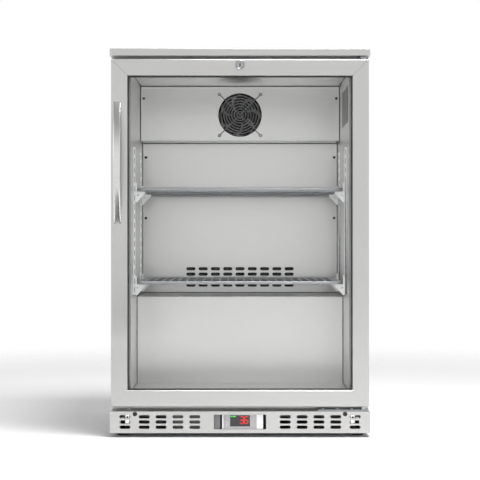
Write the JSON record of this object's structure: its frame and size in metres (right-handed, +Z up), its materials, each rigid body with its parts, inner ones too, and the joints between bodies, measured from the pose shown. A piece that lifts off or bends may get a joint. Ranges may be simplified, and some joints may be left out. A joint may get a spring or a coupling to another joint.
{
  "type": "undercounter refrigerator",
  "caption": "Free-standing stainless undercounter refrigerator with a hinged glass door, bow handle, wire shelves on clips, fan evaporator, slotted plinth and levelling feet.",
  "frame": {"origin": "on the floor, at the bottom centre of the bounding box, handle and feet included", "axes": "+Z up, front with the door towards -Y, hinges on the +X side"},
  "size_m": [0.6, 0.553, 0.895],
  "materials": {
    "case_steel": "satin",
    "liner_steel": "satin",
    "zinc_plate": "satin",
    "chrome": "polished",
    "galvanised_steel": "satin",
    "bare_aluminium": "satin",
    "black_plastic": "matte",
    "grey_plastic": "satin",
    "insulation_foam": "matte",
    "clear_glass": "gloss",
    "black_rubber": "matte",
    "black_paint": "satin",
    "grey_coating": "satin",
    "guard_wire": "satin"
  },
  "bodies": {
    "cabinet": {"worktop": "case_steel", "side_panel_left": "case_steel", "side_panel_right": "case_steel", "plinth_grille": "case_steel", "door_jamb": "case_steel", "rear_panel": "galvanised_steel", "rear_service_grille": "galvanised_steel", "base_frame": "galvanised_steel", "foam_insulation": "insulation_foam", "liner_left": "liner_steel", "liner_right": "liner_steel", "liner_ceiling": "liner_steel", "liner_floor": "liner_steel", "machine_cover": "liner_steel", "rear_air_panel": "liner_steel", "evaporator_cover": "liner_steel", "evaporator_coil": "bare_aluminium", "condenser_coil": "bare_aluminium", "evaporator_fan_frame": "black_plastic", "power_inlet": "black_plastic", "fan_guard": "guard_wire", "pilaster_front_left": "zinc_plate", "shelf_clip_upper_front_left": "zinc_plate", "shelf_clip_lower_front_left": "zinc_plate", "pilaster_front_right": "zinc_plate", "shelf_clip_upper_front_right": "zinc_plate", "shelf_clip_lower_front_right": "zinc_plate", "pilaster_rear_left": "zinc_plate", "shelf_clip_upper_rear_left": "zinc_plate", "shelf_clip_lower_rear_left": "zinc_plate", "pilaster_rear_right": "zinc_plate", "shelf_clip_upper_rear_right": "zinc_plate", "shelf_clip_lower_rear_right": "zinc_plate", "bottom_hinge_bracket": "zinc_plate", "top_hinge_bracket": "zinc_plate", "controller_housing": "grey_plastic", "compressor": "black_paint"},
    "door": {"door_stile_left": "case_steel", "door_stile_right": "case_steel", "door_rail_top": "case_steel", "door_rail_bottom": "case_steel", "glass_pane_front": "clear_glass", "glass_pane_rear": "clear_glass", "glass_spacer": "black_plastic", "door_gasket": "black_rubber", "door_handle": "liner_steel", "lock_barrel": "chrome"},
    "lock": {"lock_cylinder": "chrome"},
    "evaporator_fan": {"evaporator_fan_rotor": "black_plastic"},
    "condenser_fan": {"condenser_fan_rotor": "bare_aluminium"},
    "shelf_upper": {"shelf_upper": "grey_coating"},
    "shelf_lower": {"shelf_lower": "grey_coating"},
    "foot_front_left": {"foot_front_left": "black_plastic"},
    "foot_front_right": {"foot_front_right": "black_plastic"},
    "foot_rear_left": {"foot_rear_left": "black_plastic"},
    "foot_rear_right": {"foot_rear_right": "black_plastic"},
    "key_up": {"key_up": "grey_plastic"},
    "key_down": {"key_down": "grey_plastic"},
    "key_set": {"key_set": "grey_plastic"},
    "key_power": {"key_power": "grey_plastic"}
  },
  "joints": [
    {"name": "door_hinge", "type": "hinge", "parent": "cabinet", "child": "door", "pos_m": [0.285, -0.2285, 0.4705], "axis": [0, 0, 1], "range_deg": [0, 110]},
    {"name": "lock_turn", "type": "hinge", "parent": "door", "child": "lock", "pos_m": [0, -0.2435, 0.8568], "axis": [0, -1, 0], "range_deg": [0, 90]},
    {"name": "evaporator_fan_spin", "type": "hinge", "parent": "cabinet", "child": "evaporator_fan", "pos_m": [0, 0.1485, 0.7736], "axis": [0, 1, 0], "continuous": true},
    {"name": "condenser_fan_spin", "type": "hinge", "parent": "cabinet", "child": "condenser_fan", "pos_m": [-0.116, 0.1645, 0.127], "axis": [1, 0, 0], "continuous": true},
    {"name": "shelf_upper_lift", "type": "slide", "parent": "cabinet", "child": "shelf_upper", "axis": [0, 0, 1], "range_m": [0, 0.03]},
    {"name": "shelf_lower_lift", "type": "slide", "parent": "cabinet", "child": "shelf_lower", "axis": [0, 0, 1], "range_m": [0, 0.03]},
    {"name": "foot_front_left_height", "type": "slide", "parent": "cabinet", "child": "foot_front_left", "axis": [0, 0, -1], "range_m": [0, 0.015]},
    {"name": "foot_front_right_height", "type": "slide", "parent": "cabinet", "child": "foot_front_right", "axis": [0, 0, -1], "range_m": [0, 0.015]},
    {"name": "foot_rear_left_height", "type": "slide", "parent": "cabinet", "child": "foot_rear_left", "axis": [0, 0, -1], "range_m": [0, 0.015]},
    {"name": "foot_rear_right_height", "type": "slide", "parent": "cabinet", "child": "foot_rear_right", "axis": [0, 0, -1], "range_m": [0, 0.015]},
    {"name": "key_up_press", "type": "slide", "parent": "cabinet", "child": "key_up", "axis": [0, 1, 0], "range_m": [0, 0.0006], "stiffness_N_per_m": 400},
    {"name": "key_down_press", "type": "slide", "parent": "cabinet", "child": "key_down", "axis": [0, 1, 0], "range_m": [0, 0.0006], "stiffness_N_per_m": 400},
    {"name": "key_set_press", "type": "slide", "parent": "cabinet", "child": "key_set", "axis": [0, 1, 0], "range_m": [0, 0.0006], "stiffness_N_per_m": 400},
    {"name": "key_power_press", "type": "slide", "parent": "cabinet", "child": "key_power", "axis": [0, 1, 0], "range_m": [0, 0.0006], "stiffness_N_per_m": 400}
  ]
}
